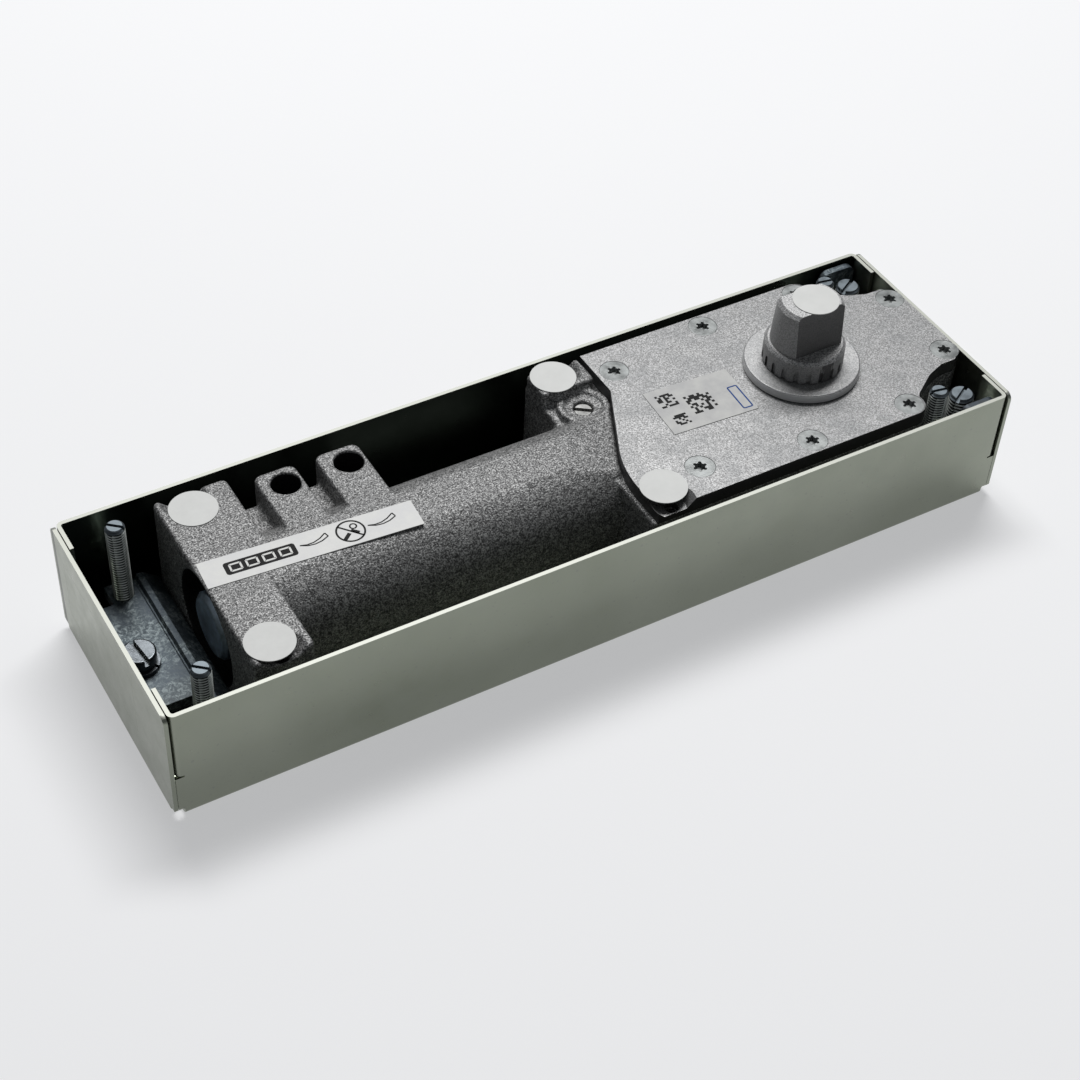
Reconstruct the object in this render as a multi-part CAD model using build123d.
from build123d import *
import os
from math import atan2, cos, degrees, hypot, pi, sin

# Floor-mounted door closer (floor spring) in its cement box.
# Frame: origin at the centre of the box's underside, +X along the box towards the spindle end,
# +Y across it, +Z up. Millimetres.

# ---------------------------------------------------------------- driving dimensions
# Cement box, folded from one sheet
BOX_L, BOX_W, BOX_H = 288.0, 83.5, 42.0
SHEET = 1.25
BEND_OUT, BEND_IN = 2.0, 0.75
FLAP_GAP = 0.35
FLAP_CORNER = 2.5
TAB_LENGTH, TAB_BOTTOM, TAB_HOLE_R = 12.0, 17.0, 1.1

# Closer body
TUBE_Z, TUBE_R, BORE_R = 23.5, 20.5, 16.5
CAST_TOP, HALF_W = 43.0, 36.0
BODY_TOP, BODY_BOTTOM, FOOT_Z = 38.0, 3.5, 8.0
BLOCK_X0, BLOCK_X1, BLOCK_REAR_X1 = -114.9, -96.5, -91.5
BORE_END_X = 2.0
MOUTH_R, MOUTH_DEPTH = 18.0, 6.9
BODY_X0, BODY_X1 = 13.9, 142.0
LUGS = ((-84.6, -71.0), (-64.7, -50.2))
LUG_Y1, WEB_Y1, WEB_TOP = 32.6, 28.0, 36.0
SLOPE_LOW, SLOPE_RUN = 1.8, 16.0
PLUG_SPOT, PLUG_SINK_R, PLUG_SINK_Z, PLUG_R, PLUG_TOP = (21.5, 18.0), 6.25, 39.1, 3.2, 38.2
CHANNEL_Y, CHANNEL_Z, CHANNEL_R = 21.0, 13.5, 2.0

# Deck-plate screw holes: four countersunk M5 holes in a rectangle
DECK_X, DECK_Y = (-106.0, 21.2), 33.5
DECK_R, DECK_SINK_R, DECK_FLOOR_R, DECK_SINK_DEPTH, DECK_DEPTH = 2.2, 7.5, 4.6, 3.0, 16.0

# Cover, gasket and screws
GASKET_T = 0.4
COVER_Z0, COVER_TOP = BODY_TOP + GASKET_T, CAST_TOP
FLANGE_R, FLANGE_TOP = 18.6, 46.0
SCREW_SPOTS = ((36.7, 24.9), (74.0, 30.9), (111.1, 31.0), (137.5, 14.7))
SCREW_HEAD_R, SCREW_R, SCREW_LENGTH = 4.7, 2.5, 14.0
LOBE_R = 5.4

# Spindle, cam and bearings
SPINDLE_X = 91.2
SPINDLE_TOP, NECK_R, SPINDLE_TOP_R = 69.3, 11.25, 10.5
FLAT_Z, FLAT_BASE_Y, FLAT_TOP_Y = 54.3, 7.2, 5.8
COLLAR_R, COLLAR_Z0, COLLAR_Z1, COLLAR_NOTCHES = 12.9, 46.3, 54.0, 20
SEAT_R, JOURNAL_R, CORE_R, FOOT_R = 11.0, 10.0, 8.5, 8.0
NEEDLE_R, RUN_GAP = 1.25, 0.05
CHAMBER_R, CHAMBER_Z = 31.5, 12.0
CAM_Z0, CAM_Z1 = 17.0, 30.0
PITCH_R, CAM_LIFT = 21.0, 18.0
ROLLER_R, ROLLER_Z0, ROLLER_Z1, PIN_R = 9.0, 16.3, 30.7, 3.5
ROLLER_X = SPINDLE_X - PITCH_R
CAM_GAP = 0.03

# Piston, fork and spring
PISTON_X0, PISTON_X1, PISTON_R = -45.0, -2.0, 16.45
RING_X, CHECK_X = (-30.0, -27.0), -23.0
FORK_X0, FORK_HALF_W, CHEEK_T = -12.0, 10.0, 3.5
CHEEK_LOW, CHEEK_HIGH = ROLLER_Z0 - 0.3 - CHEEK_T, ROLLER_Z1 + 0.3 + CHEEK_T
PASSAGE_HALF_W, PASSAGE_Z0, PASSAGE_Z1 = 14.0, 11.7, 35.3
PLUG_X0, PLUG_X1, PLUG_BOSS_R = -108.0, -98.0, 10.6
SEAT_T, SPRING_R, WIRE_R, SPRING_TURNS = 3.0, 12.0, 2.25, 6

# Valve screws, in the two rear lugs
VALVE_SPOTS = {"closing": (-76.7, 25.7), "latch": (-56.0, 25.7)}
VALVE_BORE_R, VALVE_R, VALVE_TOP, VALVE_Z0 = 4.6, 4.55, 29.0, 13.0

# Levelling and clamping hardware
STUD_R, CLAMP_STUD_R = 3.0, 4.0
LEFT_STUD, LEFT_STUD_TOP = (-128.3, 30.7), 44.3
RIGHT_STUD, RIGHT_STUD_TOP = (122.8, 31.0), 44.1
RIGHT_CLAMP, RIGHT_CLAMP_TOP = (133.0, 31.0), 38.8
LEFT_CLAMP = (-134.6, 2.5)
PLATE_TOP, PLATE_T = 16.0, 4.0
WASHER_R, WASHER_T = 5.9, 1.5
HEAD_R, HEAD_H = 5.0, 4.2
EAR_X, EAR_Y, EAR_TOP = (127.0, 140.3), (37.4, 39.8), 40.3
STRIP_X0, STRIP_X1 = 118.6, 140.8

# Stickers
DOT_R, DOT_T = 7.35, 0.25
DOTS = ((-105.1, 28.0), (-107.5, -29.8), (17.9, 31.0), (22.1, -27.3))
LABEL_T = 0.2


# ---------------------------------------------------------------- helpers
def box(x0, x1, y0, y1, z0, z1):
    """Upright box between two corners."""
    return Pos((x0 + x1) / 2, (y0 + y1) / 2, (z0 + z1) / 2) * Box(x1 - x0, y1 - y0, z1 - z0)


def post(spot, r, z0, z1):
    """Upright cylinder at a plan position."""
    return Pos(spot[0], spot[1], (z0 + z1) / 2) * Cylinder(r, z1 - z0)


def rod(x0, x1, r, y=0.0, z=TUBE_Z):
    """Cylinder along X, on the tube's axis unless told otherwise."""
    return Pos((x0 + x1) / 2, y, z) * Rot(0, 90, 0) * Cylinder(r, x1 - x0)


def cross_rod(spot_x, y0, y1, z, r):
    """Cylinder along Y."""
    return Pos(spot_x, (y0 + y1) / 2, z) * Rot(90, 0, 0) * Cylinder(r, y1 - y0)


def cone(spot, r0, r1, z0, z1):
    """Upright cone frustum, radius r0 at z0 and r1 at z1."""
    return Pos(spot[0], spot[1], (z0 + z1) / 2) * Cone(r0, r1, z1 - z0)


def ring(spot, r_out, r_in, z0, z1):
    """Upright ring."""
    return post(spot, r_out, z0, z1) - post(spot, r_in, z0 - 1, z1 + 1)


def upright_edges(shape):
    return shape.edges().filter_by(Axis.Z)


def top_edges(shape):
    return shape.edges().group_by(Axis.Z)[-1]


def both_sides(spots):
    """Each plan position and its mirror image across the X axis."""
    return [(x, side * y) for x, y in spots for side in (1, -1)]


# ---------------------------------------------------------------- cement box
def folded_shell(length, width, height, wall):
    """Open box with rounded upright and bottom bends."""
    outer = box(-length / 2, length / 2, -width / 2, width / 2, 0, height)
    outer = fillet(upright_edges(outer) + outer.edges().group_by(Axis.Z)[0], BEND_OUT)
    inner = box(-length / 2 + wall, length / 2 - wall, -width / 2 + wall, width / 2 - wall, wall, height + 5)
    inner = fillet(upright_edges(inner) + inner.edges().group_by(Axis.Z)[0], BEND_IN)
    return outer - inner


def end_flap_channel():
    """Bottom strip with both end plates folded up from it."""
    outer = box(-BOX_L / 2, BOX_L / 2, -BOX_W / 2, BOX_W / 2, 0, BOX_H)
    cross = outer.edges().group_by(Axis.Z)[0].filter_by(Axis.Y)
    outer = fillet(cross, BEND_OUT)
    inner = box(-BOX_L / 2 + SHEET, BOX_L / 2 - SHEET, -BOX_W, BOX_W, SHEET, BOX_H + 5)
    inner = fillet(inner.edges().group_by(Axis.Z)[0].filter_by(Axis.Y), BEND_IN)
    flaps = outer - inner
    return fillet(flaps.edges().filter_by(Axis.X).group_by(Axis.Z)[-1], FLAP_CORNER)


def cement_box():
    inner_len = BOX_L - 2 * (SHEET + FLAP_GAP)
    trough = folded_shell(inner_len, BOX_W, BOX_H, SHEET)
    tab_y = BOX_W / 2 - TAB_LENGTH
    end_x = inner_len / 2
    for side in (-1, 1):
        x_in, x_out = sorted((side * (end_x - SHEET - 0.01), side * (end_x + 1)))
        x_far, x_near = sorted((side * (end_x - BEND_OUT - 0.5), side * (end_x + 1)))
        trough -= box(x_in, x_out, -tab_y, tab_y, SHEET, BOX_H + 1)
        trough -= box(x_far, x_near, -BOX_W, BOX_W, SHEET + 2.0, TAB_BOTTOM) - box(
            -BOX_L, BOX_L, -BOX_W / 2 + SHEET, BOX_W / 2 - SHEET, 0, BOX_H
        )
        trough -= box(x_in, x_out, -BOX_W, BOX_W, SHEET, TAB_BOTTOM)
        for y_side in (-1, 1):
            wall_y = sorted((y_side * (BOX_W / 2 - SHEET), y_side * BOX_W / 2))
            skirt = sorted((side * (end_x - BEND_OUT - 0.6), side * (end_x + 0.2)))
            trough += box(*skirt, *wall_y, SHEET + 2.0, TAB_BOTTOM - 0.6)
            hole = Pos(side * end_x, y_side * (BOX_W / 2 - 6.5), 34) * Rot(0, 90, 0) * Cylinder(TAB_HOLE_R, 6)
            trough -= hole
    flaps = end_flap_channel()
    relief = 3.2
    for side in (-1, 1):
        for y_side in (-1, 1):
            x_pair = sorted((side * (BOX_L / 2 - relief), side * (BOX_L / 2 + 1)))
            y_pair = sorted((y_side * (BOX_W / 2 - relief), y_side * (BOX_W / 2 + 1)))
            flaps -= box(*x_pair, *y_pair, -1, relief)
            trough -= box(*x_pair, *y_pair, -1, relief - 0.4)
    flaps -= box(-end_x + 1, end_x - 1, BOX_W / 2 - BEND_OUT - 0.5, BOX_W, -1, BOX_H + 1)
    flaps -= box(-end_x + 1, end_x - 1, -BOX_W, -BOX_W / 2 + BEND_OUT + 0.5, -1, BOX_H + 1)
    return trough + flaps


def floor_bushes():
    """Threaded bushes pressed into the box floor under the clamping screws."""
    left = ring(LEFT_CLAMP, 6.0, STUD_R + RUN_GAP, SHEET, 8.0)
    right = [ring(spot, 6.5, CLAMP_STUD_R + RUN_GAP, SHEET, 3.9) for spot in both_sides([RIGHT_CLAMP])]
    return Compound([left.solid()] + [part.solid() for part in right])


# ---------------------------------------------------------------- closer body
def cover_outline():
    """Plan outline of the cover: slanted left edge, and lobes round the end screws."""
    right = [(111.1, 36.0), (117.0, 28.4), (125.5, 22.6), (132.0, 20.2), (137.5, 20.1), (142.0, 17.0)]
    front = [(x, -y) for x, y in right]
    edge = Polyline((15.2, -24.5), (15.2, -36.0), *front, *right[::-1], (30.7, 36.0), (30.7, 17.2), (18.6, -8.0))
    curve = ThreePointArc((18.6, -8.0), (16.0, -16.0), (15.2, -24.5))
    face = make_face(edge + curve)
    for x, y in both_sides(SCREW_SPOTS[2:]):
        face += Pos(x, y) * Circle(LOBE_R - (0.4 if x < 120 else 0.9))
    return face


def tube():
    """Spring tube with a flat crest that slopes down before the cover's slanted edge."""
    shape = rod(BLOCK_X0, BODY_X0 + 22, TUBE_R)
    shape -= box(-200, 200, -50, 50, CAST_TOP, 80)
    edge_angle = degrees(atan2(17.2 + 8.0, 30.7 - 18.6))
    crest = CAST_TOP - BODY_TOP + 0.2
    outline = [(-60, SLOPE_LOW), (0, SLOPE_LOW), (SLOPE_RUN, crest), (SLOPE_RUN, 30), (-60, 30)]
    slope = Polygon(*outline, align=None)
    wedge = extrude(Plane.XZ * slope, 80, both=True)
    return shape - Pos(24.6, 4.6, BODY_TOP) * Rot(0, 0, edge_angle + 90) * wedge


def end_block():
    """Square block round the tube's open end."""
    block = box(BLOCK_X0, BLOCK_X1, -HALF_W, HALF_W, FOOT_Z, CAST_TOP)
    block = fillet(upright_edges(block), 1.6)
    rear = box(BLOCK_X1 - 8, BLOCK_REAR_X1, 8, HALF_W, 16, CAST_TOP)
    rear = fillet(upright_edges(rear).group_by(Axis.X)[-1], 1.6)
    block += rear
    return fillet(top_edges(block), 0.9)


def rear_lugs():
    """Two lugs that hold the valve screws, the web between them and the channel rib below."""
    shape = box(BLOCK_REAR_X1 - 4, LUGS[1][1], 8, WEB_Y1, 14, WEB_TOP)
    for x0, x1 in LUGS:
        lug = box(x0, x1, 6, LUG_Y1, 12, CAST_TOP)
        lug = fillet(upright_edges(lug).group_by(Axis.Y)[-1], 2.6)
        shape += fillet(top_edges(lug), 0.8)
    return shape + rod(BLOCK_X1 - 2, BODY_X0 + 16, 6.0, CHANNEL_Y, CHANNEL_Z)


def spindle_body():
    """Right-hand part of the casting, under the cover."""
    outline = cover_outline()
    outline += Pos((BODY_X0 + 40) / 2, -11.0) * Rectangle(40 - BODY_X0, 50)
    outline += Pos((10.7 + 40) / 2, 23.0) * Rectangle(40 - 10.7, 26)
    shape = extrude(Pos(0, 0, BODY_BOTTOM) * outline, BODY_TOP - BODY_BOTTOM)
    shape -= box(STRIP_X0 - 0.6, 150, -50, 50, 0, FOOT_Z)
    boss = box(10.7, 29.5, 24.6, HALF_W, BODY_TOP - 6, CAST_TOP)
    boss = fillet(upright_edges(boss), 1.6)
    shape += fillet(top_edges(boss), 0.8)
    return shape + post(PLUG_SPOT, PLUG_SINK_R + 2.1, BODY_TOP - 8, PLUG_SINK_Z + 1.2)


def deck_hole(x, y, top, sink=True):
    """Countersunk tapped hole for the deck plate that hides the closer."""
    cut = post((x, y), DECK_R, top - DECK_DEPTH, top + 1)
    if sink:
        cut += cone((x, y), DECK_FLOOR_R, DECK_SINK_R, top - DECK_SINK_DEPTH, top)
        cut += post((x, y), DECK_SINK_R, top, top + 2)
    return cut


def hydraulic_bores():
    """Valve bores, their ports into the tube, and the long return channel."""
    cut = rod(VALVE_SPOTS["closing"][0] - 3, 23.0, CHANNEL_R, CHANNEL_Y, CHANNEL_Z)
    for x, y in VALVE_SPOTS.values():
        cut += post((x, y), VALVE_BORE_R, VALVE_Z0 - 1, CAST_TOP + 1)
        cut += cross_rod(x, 8, y, 18.5, 1.6)
    cut += post(PLUG_SPOT, PLUG_SINK_R, PLUG_SINK_Z, 45)
    cut += post(PLUG_SPOT, PLUG_R, 28.0, 40)
    cut += post(PLUG_SPOT, CHANNEL_R, CHANNEL_Z, 29)
    return cut


def closer_housing():
    shape = tube() + end_block() + rear_lugs() + spindle_body()
    shape -= extrude(Pos(0, 0, BODY_TOP) * offset(cover_outline(), 0.3), 20)
    spindle = (SPINDLE_X, 0)
    shape -= rod(BLOCK_X0 - 1, BORE_END_X, BORE_R)
    shape -= rod(BLOCK_X0 - 1, BLOCK_X0 + MOUTH_DEPTH, MOUTH_R)
    passage = box(-2, SPINDLE_X, -PASSAGE_HALF_W, PASSAGE_HALF_W, PASSAGE_Z0, PASSAGE_Z1)
    shape -= passage
    shape -= post(spindle, CHAMBER_R, CHAMBER_Z, BODY_TOP + 1)
    shape -= post(spindle, FOOT_R + 2 * NEEDLE_R + 1.5, BODY_BOTTOM + 2, CHAMBER_Z + 1)
    shape -= hydraulic_bores()
    for y in (-DECK_Y, DECK_Y):
        shape -= deck_hole(DECK_X[0], y, CAST_TOP)
    shape -= deck_hole(DECK_X[1], DECK_Y, CAST_TOP)
    shape -= deck_hole(DECK_X[1], -DECK_Y, BODY_TOP + 2, sink=False)
    for spot in both_sides(SCREW_SPOTS):
        shape -= post(spot, SCREW_R, CAST_TOP - SCREW_LENGTH - 0.5, BODY_TOP + 1)
    return shape


def filler_plug():
    """Slotted plug that closes the return channel."""
    shape = chamfer(top_edges(post(PLUG_SPOT, PLUG_R - RUN_GAP, 29.5, PLUG_TOP)), 0.4)
    slot = Pos(PLUG_SPOT[0], PLUG_SPOT[1], PLUG_TOP) * Rot(0, 0, -35) * Box(9.0, 1.3, 3.0)
    return shape - slot


# ---------------------------------------------------------------- cover
def top_cover():
    shape = extrude(Pos(0, 0, COVER_Z0) * cover_outline(), COVER_TOP - COVER_Z0)
    shape -= deck_hole(DECK_X[1], -DECK_Y, COVER_TOP)
    spindle = (SPINDLE_X, 0)
    flange = post(spindle, FLANGE_R, COVER_TOP - 1, FLANGE_TOP)
    shape += fillet(top_edges(flange), 0.5)
    shape -= post(spindle, JOURNAL_R + 2 * NEEDLE_R + 1.5, COVER_Z0 - 1, 44.8)
    shape -= post(spindle, SEAT_R + 0.3, 44, 50)
    for spot in both_sides(SCREW_SPOTS):
        shape -= post(spot, SCREW_R + 0.1, COVER_Z0 - 1, COVER_TOP + 1)
        shape -= cone(spot, SCREW_R + 0.1, SCREW_HEAD_R + 0.1, COVER_TOP - 2.5, COVER_TOP - 0.3)
        shape -= post(spot, SCREW_HEAD_R + 0.1, COVER_TOP - 0.3, COVER_TOP + 1)
    return shape


def cover_gasket():
    sheet = extrude(Pos(0, 0, BODY_TOP) * cover_outline(), GASKET_T)
    sheet -= post((SPINDLE_X, 0), CHAMBER_R, BODY_TOP - 1, BODY_TOP + 1)
    sheet -= post((DECK_X[1], -DECK_Y), DECK_R + 0.1, BODY_TOP - 1, BODY_TOP + 1)
    for spot in both_sides(SCREW_SPOTS):
        sheet -= post(spot, SCREW_R + 0.1, BODY_TOP - 1, BODY_TOP + 1)
    return sheet


def cover_screw(spot):
    """Countersunk screw with a six-lobe recess."""
    top = COVER_TOP - 0.05
    head = cone(spot, SCREW_R, SCREW_HEAD_R, top - 2.4, top - 0.2) + post(spot, SCREW_HEAD_R, top - 0.2, top)
    shape = head + post(spot, SCREW_R, COVER_TOP - SCREW_LENGTH, top - 2.2)
    recess = Circle(1.55)
    for lobe in range(6):
        recess += Rot(0, 0, 60 * lobe) * Pos(1.75, 0) * Circle(0.5)
    return (shape - extrude(Pos(spot[0], spot[1], top - 1.8) * recess, 3)).solid()


def cover_screws():
    return Compound([cover_screw(spot) for spot in both_sides(SCREW_SPOTS)])


# ---------------------------------------------------------------- spindle group
def spindle():
    spot = (SPINDLE_X, 0)
    head = cone(spot, NECK_R, SPINDLE_TOP_R, COLLAR_Z1, SPINDLE_TOP)
    head = chamfer(top_edges(head), 1.2)
    rise = SPINDLE_TOP + 1 - FLAT_Z
    top_y = FLAT_BASE_Y + (FLAT_TOP_Y - FLAT_BASE_Y) * rise / (SPINDLE_TOP - FLAT_Z)
    for side in (-1, 1):
        flank = Polygon((FLAT_BASE_Y, 0), (20, -0.8), (20, rise), (top_y, rise), align=None)
        cut = extrude(Plane.YZ * flank, 15, both=True)
        head -= Pos(SPINDLE_X, 0, FLAT_Z) * (cut if side > 0 else Rot(0, 0, 180) * cut)
    shape = head + post(spot, SEAT_R, 43.2, COLLAR_Z1)
    shape += post(spot, JOURNAL_R, 36.0, 43.2)
    shape += post(spot, CORE_R, CHAMBER_Z + 0.3, 36.0)
    shape += post(spot, FOOT_R, BODY_BOTTOM + 2.1, CHAMBER_Z + 0.3)
    return shape - key_slot(4.0)


def key_slot(width):
    """Room for the key between the spindle and the cam."""
    return box(SPINDLE_X + CORE_R - 2.5, SPINDLE_X + CORE_R + 2.0, -width / 2, width / 2, CAM_Z0, CAM_Z1)


def spindle_collar():
    """Castellated ring round the foot of the spindle's head."""
    spot = (SPINDLE_X, 0)
    shape = post(spot, COLLAR_R, COLLAR_Z0, COLLAR_Z1)
    shape = chamfer(top_edges(shape), 1.0) - post(spot, SEAT_R, 40, 60)
    for notch in range(COLLAR_NOTCHES):
        turn = Pos(SPINDLE_X, 0, 0) * Rot(0, 0, 360 / COLLAR_NOTCHES * (notch + 0.5))
        slot = box(COLLAR_R - 0.7, COLLAR_R + 1, -0.75, 0.75, COLLAR_Z0 - 1, COLLAR_Z0 + 3.2)
        arch = Pos(COLLAR_R, 0, COLLAR_Z0 + 3.2) * Rot(0, 90, 0) * Cylinder(0.75, 1.4)
        shape -= turn * (slot + arch)
    return shape


def cam_point(angle):
    """Point on the cam's flank: the roller's path, set in by the roller's radius.

    The path's radius grows evenly with the angle from the low point, so the fork's travel
    is in constant ratio to the spindle's turn.
    """
    rate = CAM_LIFT / pi
    radius = PITCH_R + rate * (pi - angle)
    inset = (ROLLER_R + CAM_GAP) / hypot(radius, rate)
    along, across = radius - inset * radius, -inset * rate
    return along * cos(angle) - across * sin(angle), along * sin(angle) + across * cos(angle)


def heart_cam():
    """Heart-shaped cam: its dent holds the roller when the door is closed."""
    tip_angle = 2.56 * pi / 180
    count = 12
    flank = [cam_point(tip_angle + (pi - tip_angle) * i / count) for i in range(count + 1)]
    tip_x = flank[0][0]
    upper = Spline(*[(SPINDLE_X + x, y) for x, y in flank])
    lower = Spline(*[(SPINDLE_X + x, -y) for x, y in flank])
    last_x, last_y = flank[-1]
    dent = ThreePointArc(
        (SPINDLE_X + last_x, last_y),
        (SPINDLE_X - PITCH_R + ROLLER_R + CAM_GAP, 0),
        (SPINDLE_X + last_x, -last_y),
    )
    nose = Line((SPINDLE_X + tip_x, flank[0][1]), (SPINDLE_X + tip_x, -flank[0][1]))
    face = make_face(Wire([upper, dent, lower, nose]))
    shape = extrude(Pos(0, 0, CAM_Z0) * face, CAM_Z1 - CAM_Z0)
    return shape - post((SPINDLE_X, 0), CORE_R, 10, 40) - key_slot(4.0)


def cam_key():
    return key_slot(4.0)


def needle_bearing(journal_r, z0, z1, count):
    """Outer ring and needles of a bearing round the spindle."""
    spot = (SPINDLE_X, 0)
    track = journal_r + RUN_GAP + 2 * NEEDLE_R
    outer = ring(spot, track + 1.4, track + 0.02, z0, z1)
    pitch = journal_r + RUN_GAP + NEEDLE_R
    needles = []
    for i in range(count):
        angle = 2 * pi * i / count
        place = (SPINDLE_X + pitch * cos(angle), pitch * sin(angle))
        needles.append(post(place, NEEDLE_R, z0 + 0.4, z1 - 0.4).solid())
    return outer, Compound(needles)


def shaft_seal():
    return ring((SPINDLE_X, 0), JOURNAL_R + 2 * NEEDLE_R + 1.45, SEAT_R + RUN_GAP, 43.25, 44.75)


# ---------------------------------------------------------------- piston group
def piston():
    shape = rod(PISTON_X0, PISTON_X1, PISTON_R)
    shape -= rod(*RING_X, PISTON_R + 1) - rod(RING_X[0] - 1, RING_X[1] + 1, PISTON_R - 2.2)
    shape -= rod(PISTON_X0 - 1, CHECK_X, 7.0)
    shape -= rod(PISTON_X0 - 1, -14.0, 3.4)
    shape -= rod(-15.0, PISTON_X1 + 1, 2.0)
    shape -= box(FORK_X0, PISTON_X1 + 1, -FORK_HALF_W, FORK_HALF_W, CHEEK_LOW, CHEEK_HIGH)
    return shape - fork_pin()


def push_fork():
    """Two cheeks that carry the roller, joined by a root that sits in the piston."""
    root = box(FORK_X0, 10.0, -FORK_HALF_W, FORK_HALF_W, CHEEK_LOW, CHEEK_HIGH)
    shape = root - rod(FORK_X0 - 1, 11, 2.0)
    for z0, z1 in ((CHEEK_LOW, CHEEK_LOW + CHEEK_T), (CHEEK_HIGH - CHEEK_T, CHEEK_HIGH)):
        shape += box(9.0, ROLLER_X, -FORK_HALF_W, FORK_HALF_W, z0, z1)
        shape += post((ROLLER_X, 0), 7.4, z0, z1)
        shape -= box(ROLLER_X - 1, ROLLER_X + 12, -20, 20, z0 - 1, z1 + 1) - post((ROLLER_X, 0), 7.4, z0, z1)
    shape -= post((ROLLER_X, 0), PIN_R, CHEEK_LOW - 1, CHEEK_HIGH + 1)
    return shape - fork_pin()


def fork_pin():
    return cross_rod(-7.0, -13.9, 13.9, TUBE_Z + 6.5, 2.0)


def roller_pin():
    return post((ROLLER_X, 0), PIN_R, CHEEK_LOW, CHEEK_HIGH)


def cam_roller():
    shape = ring((ROLLER_X, 0), ROLLER_R, PIN_R + RUN_GAP, ROLLER_Z0, ROLLER_Z1)
    outer = shape.edges().filter_by(GeomType.CIRCLE).group_by(SortBy.RADIUS)[-1]
    return chamfer(outer, 0.5)


def piston_seal():
    return rod(RING_X[0] + 0.05, RING_X[1] - 0.05, PISTON_R) - rod(-40, 0, PISTON_R - 2.2)


def check_ball():
    return Pos(-17.0, 0, TUBE_Z) * Sphere(3.0)


def check_retainer():
    return rod(CHECK_X - 1.5, CHECK_X, 6.95) - rod(CHECK_X - 3, CHECK_X + 1, 2.2)


# ---------------------------------------------------------------- spring end
def end_plug():
    """Screwed-in plug with a central boss."""
    boss = rod(-114.0, PLUG_X0 + 1, PLUG_BOSS_R)
    boss = chamfer(boss.edges().group_by(Axis.X)[0], 1.4)
    shape = boss + rod(PLUG_X0, PLUG_X1, BORE_R)
    return shape - (rod(-103.5, -101.0, BORE_R + 1) - rod(-104, -100, BORE_R - 2.0))


def end_plug_seal():
    return rod(-103.45, -101.05, BORE_R) - rod(-104, -100, BORE_R - 2.0)


def spring_seat():
    return rod(PLUG_X1, PLUG_X1 + SEAT_T, 15.5) + rod(PLUG_X1 + SEAT_T, PLUG_X1 + SEAT_T + 5, 9.2)


def closing_spring():
    """Compression spring between the seat and the piston."""
    start = PLUG_X1 + SEAT_T + WIRE_R
    length = PISTON_X0 - WIRE_R - start
    path = Helix(length / SPRING_TURNS, length, SPRING_R)
    wire = Plane(path @ 0, z_dir=path % 0) * Circle(WIRE_R)
    return Pos(start, 0, TUBE_Z) * Rot(0, 90, 0) * sweep(wire, path)


# ---------------------------------------------------------------- valves
def valve_screw(spot):
    """Slotted throttle screw with a tapered tip and a seal groove."""
    shape = post(spot, VALVE_R, VALVE_Z0 + 6, VALVE_TOP) + cone(spot, 1.2, 3.0, VALVE_Z0, VALVE_Z0 + 6)
    shape -= ring(spot, VALVE_R + 1, VALVE_R - 1.3, 23.0, 25.0)
    return shape - Pos(spot[0], spot[1], VALVE_TOP) * Rot(0, 0, 35) * Box(12, 1.2, 3.0)


def valve_seal(spot):
    return ring(spot, VALVE_BORE_R - 0.03, VALVE_R - 1.3, 23.05, 24.95)


# ---------------------------------------------------------------- levelling and clamping
def slotted_stud(spot, r, top, slot_turn):
    """Headless threaded stud with a screwdriver slot; it stands on the box floor."""
    shape = post(spot, r, SHEET + 0.05, top)
    shape = chamfer(top_edges(shape), 0.6)
    return shape - Pos(spot[0], spot[1], top) * Rot(0, 0, slot_turn) * Box(12, r / 3, 2.8)


def left_clamp_plate():
    """Stepped plate with a raised bead across it: its tongue carries the housing's end block."""
    outline = [
        (-141.0, PLATE_TOP - PLATE_T), (-141.0, PLATE_TOP), (-123.7, PLATE_TOP), (-123.4, PLATE_TOP - 0.5),
        (-122.8, PLATE_TOP - 0.5), (-122.3, PLATE_TOP + 0.8), (-120.4, PLATE_TOP + 0.8), (-115.3, 12.6),
        (-115.3, FOOT_Z), (-102.0, FOOT_Z), (-102.0, FOOT_Z - PLATE_T),
        (-119.3, FOOT_Z - PLATE_T), (-119.3, 10.0), (-122.0, PLATE_TOP - PLATE_T),
    ]
    shape = extrude(Plane.XZ * Polygon(*outline, align=None), HALF_W, both=True)
    shape -= box(-145, -132.6, 28.0, 50, 0, 30)
    shape -= box(-145, -124.4, -25.0, -15.4, 9, 30)
    shape -= box(-145, -133.0, -50, -24.0, 0, 30)
    for y in (-LEFT_STUD[1], LEFT_STUD[1]):
        shape -= post((LEFT_STUD[0], y), STUD_R + RUN_GAP, 0, 30)
    shape -= post(LEFT_CLAMP, STUD_R + 0.4, 0, 30)
    return shape - box(-115.3, -100, -15.0, 15.0, 0, FOOT_Z + 0.1)


def left_clamp_screw():
    """Slotted cheese-head screw."""
    head_z = PLATE_TOP + WASHER_T
    head = post(LEFT_CLAMP, HEAD_R, head_z, head_z + HEAD_H)
    head = fillet(top_edges(head), 0.7)
    slot = Pos(LEFT_CLAMP[0], LEFT_CLAMP[1], head_z + HEAD_H) * Rot(0, 0, 97) * Box(12, 1.6, 4.0)
    return head + post(LEFT_CLAMP, STUD_R, 2.0, head_z) - slot


def left_spring_washer():
    shape = ring(LEFT_CLAMP, WASHER_R, STUD_R + 0.3, PLATE_TOP, PLATE_TOP + WASHER_T - 0.03)
    gap = Pos(LEFT_CLAMP[0], LEFT_CLAMP[1], PLATE_TOP + 1) * Rot(0, 0, -50) * Pos(5, 0, 0) * Box(6, 0.8, 4)
    return shape - gap


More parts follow.
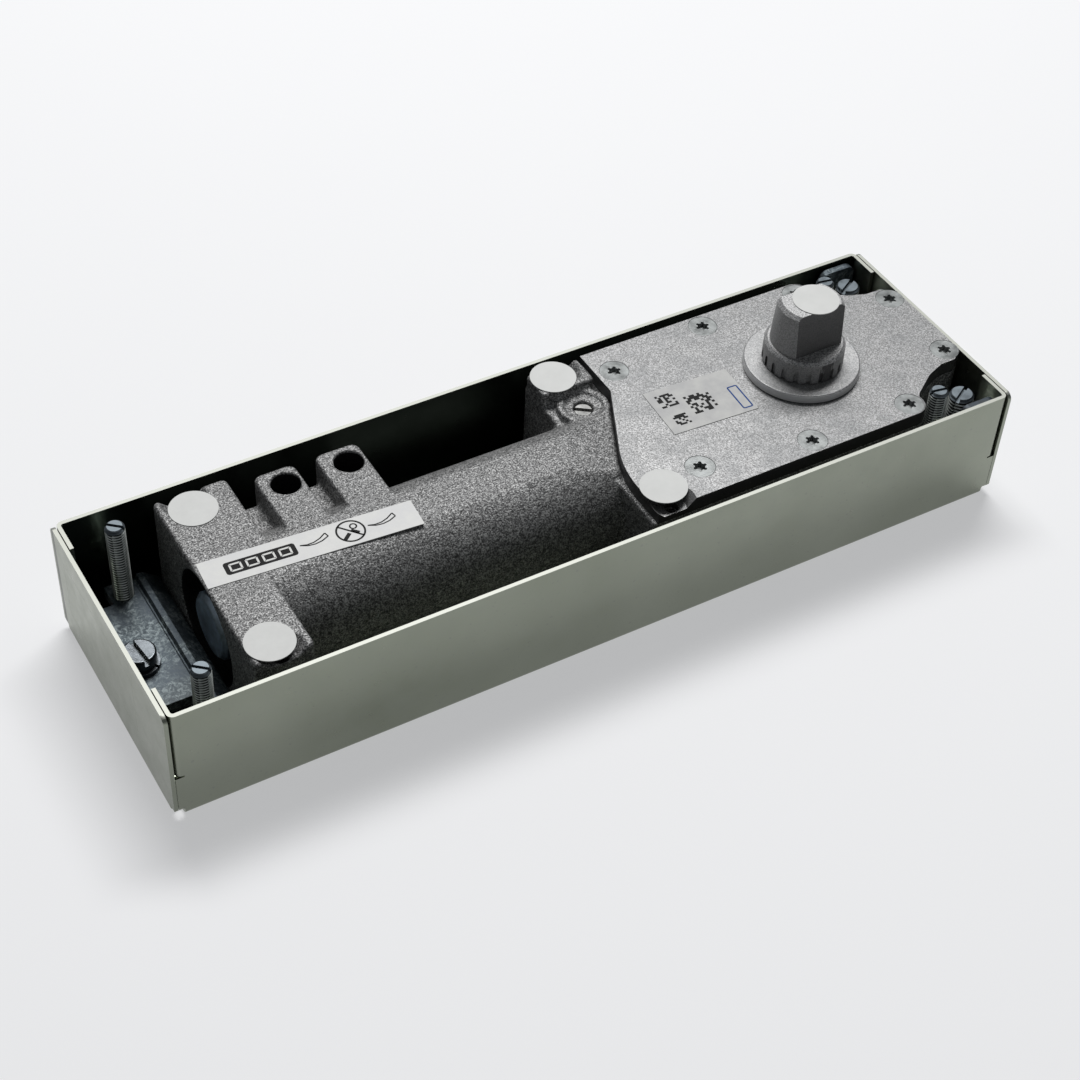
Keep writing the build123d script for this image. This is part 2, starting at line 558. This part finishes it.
def right_clamp_bracket():
    """Cross strip under the housing's foot, with an ear up each long wall."""
    shape = box(STRIP_X0, STRIP_X1, -EAR_Y[1], EAR_Y[1], FOOT_Z - PLATE_T, FOOT_Z)
    for side in (-1, 1):
        ear = box(*EAR_X, *sorted((side * EAR_Y[0], side * EAR_Y[1])), FOOT_Z - PLATE_T, EAR_TOP)
        shape += fillet(top_edges(ear).filter_by(Axis.Y), 3.0)
        shape -= post((RIGHT_STUD[0], side * RIGHT_STUD[1]), STUD_R + RUN_GAP, 0, 20)
        shape -= post((RIGHT_CLAMP[0], side * RIGHT_CLAMP[1]), CLAMP_STUD_R + RUN_GAP, 0, 20)
    return shape


# ---------------------------------------------------------------- stickers
def dot(spot, top):
    return post(spot, DOT_R, top, top + DOT_T).solid()


def mount_dots():
    return Compound([dot(spot, CAST_TOP) for spot in DOTS])


def spindle_dot():
    return dot((SPINDLE_X + 1.3, -0.4), SPINDLE_TOP)


def valve_label():
    sticker = Box(66.2, 10.6, LABEL_T)
    return Pos(-81.0, -0.9, CAST_TOP + LABEL_T / 2) * Rot(0, 0, -4.1) * sticker


def plate_label():
    sticker = Box(30.0, 20.5, LABEL_T)
    return Pos(53.0, 0.0, COVER_TOP + LABEL_T / 2) * Rot(0, 0, -3.0) * sticker


# ---------------------------------------------------------------- assembly
def all_nodes():
    upper_ring, upper_needles = needle_bearing(JOURNAL_R, COVER_Z0 + 0.2, 43.0, 22)
    lower_ring, lower_needles = needle_bearing(FOOT_R, BODY_BOTTOM + 2.1, CHAMBER_Z - 0.2, 18)
    nodes = {
        "cement_box": cement_box(),
        "floor_bushes": floor_bushes(),
        "closer_housing": closer_housing(),
        "filler_plug": filler_plug(),
        "top_cover": top_cover(),
        "cover_gasket": cover_gasket(),
        "cover_screws": cover_screws(),
        "spindle": spindle(),
        "spindle_collar": spindle_collar(),
        "heart_cam": heart_cam(),
        "cam_key": cam_key(),
        "upper_bearing_ring": upper_ring,
        "upper_bearing_needles": upper_needles,
        "lower_bearing_ring": lower_ring,
        "lower_bearing_needles": lower_needles,
        "shaft_seal": shaft_seal(),
        "piston": piston(),
        "piston_seal": piston_seal(),
        "push_fork": push_fork(),
        "fork_pin": fork_pin(),
        "cam_roller": cam_roller(),
        "roller_pin": roller_pin(),
        "check_ball": check_ball(),
        "check_retainer": check_retainer(),
        "closing_spring": closing_spring(),
        "spring_seat": spring_seat(),
        "end_plug": end_plug(),
        "end_plug_seal": end_plug_seal(),
        "left_clamp_plate": left_clamp_plate(),
        "left_clamp_screw": left_clamp_screw(),
        "left_spring_washer": left_spring_washer(),
        "right_clamp_bracket": right_clamp_bracket(),
        "mount_dots": mount_dots(),
        "spindle_dot": spindle_dot(),
        "valve_label": valve_label(),
        "plate_label": plate_label(),
    }
    for name, spot in VALVE_SPOTS.items():
        nodes[f"{name}_valve_screw"] = valve_screw(spot)
        nodes[f"{name}_valve_seal"] = valve_seal(spot)
    for place, side in (("rear", 1), ("front", -1)):
        left, right = (LEFT_STUD[0], side * LEFT_STUD[1]), (RIGHT_STUD[0], side * RIGHT_STUD[1])
        clamp = (RIGHT_CLAMP[0], side * RIGHT_CLAMP[1])
        nodes[f"left_level_screw_{place}"] = slotted_stud(left, STUD_R, LEFT_STUD_TOP, -40)
        nodes[f"right_level_screw_{place}"] = slotted_stud(right, STUD_R, RIGHT_STUD_TOP, -10)
        nodes[f"right_clamp_screw_{place}"] = slotted_stud(clamp, CLAMP_STUD_R, RIGHT_CLAMP_TOP, 30)
    return nodes


os.makedirs("parts", exist_ok=True)
for node_name, shape in all_nodes().items():
    export_step(shape, f"parts/{node_name}.step")
